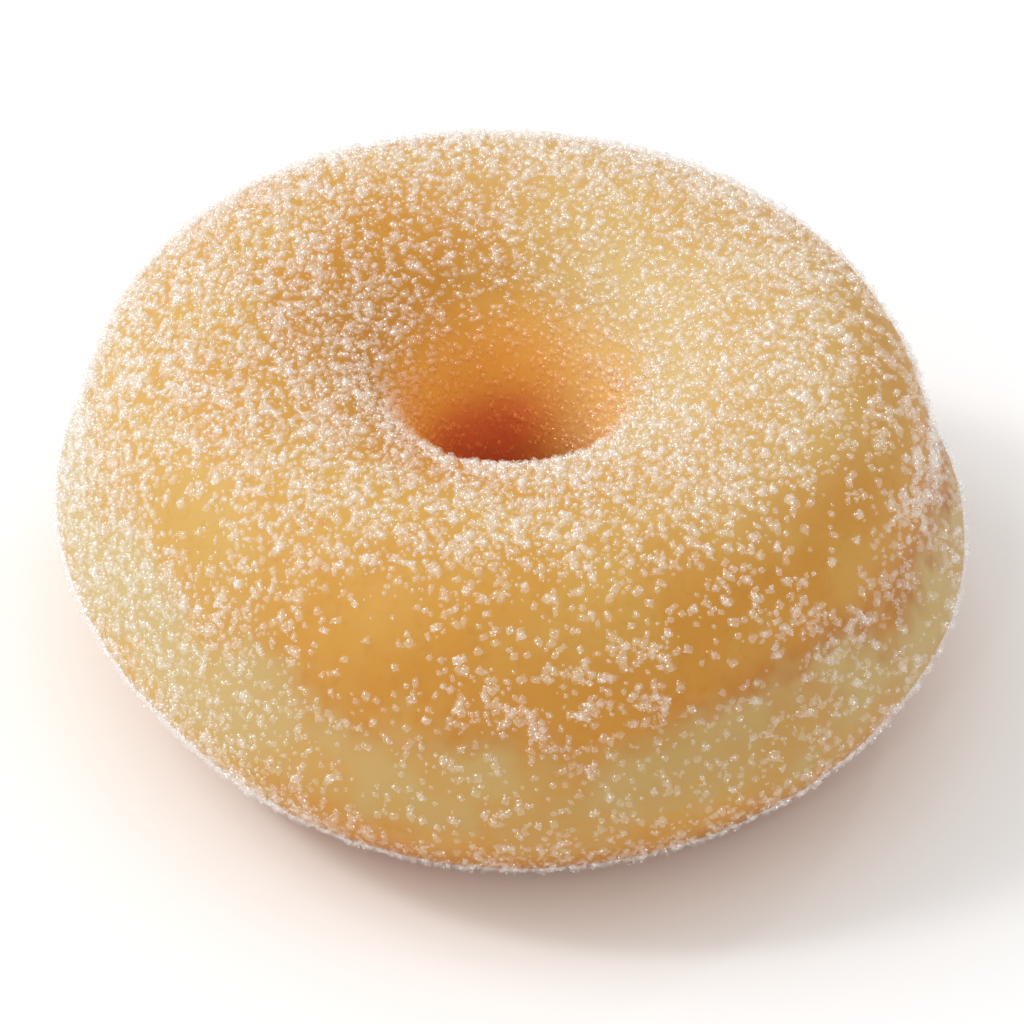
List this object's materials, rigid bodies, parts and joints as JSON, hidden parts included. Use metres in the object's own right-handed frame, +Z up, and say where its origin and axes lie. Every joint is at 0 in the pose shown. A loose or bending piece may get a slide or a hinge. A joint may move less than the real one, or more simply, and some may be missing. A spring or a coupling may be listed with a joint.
{
  "type": "mini doughnut",
  "caption": "Mini ring doughnut of raised dough with a narrow hole, a pale waist and a coat of granulated sugar, lying flat.",
  "frame": {"origin": "under the middle of the outline, on the surface that the doughnut rests on; the hole's middle is 0.4 mm from it", "axes": "+Z up through the hole, -Y towards the side that the picture shows, +X to its right"},
  "size_m": [0.0611, 0.0608, 0.0274],
  "materials": {
    "crust": "golden fried crust with a pale waist, slightly oily",
    "sugar": "clear granulated sugar crystals"
  },
  "bodies": {
    "root": {"doughnut": "crust"}
  },
  "joints": []
}
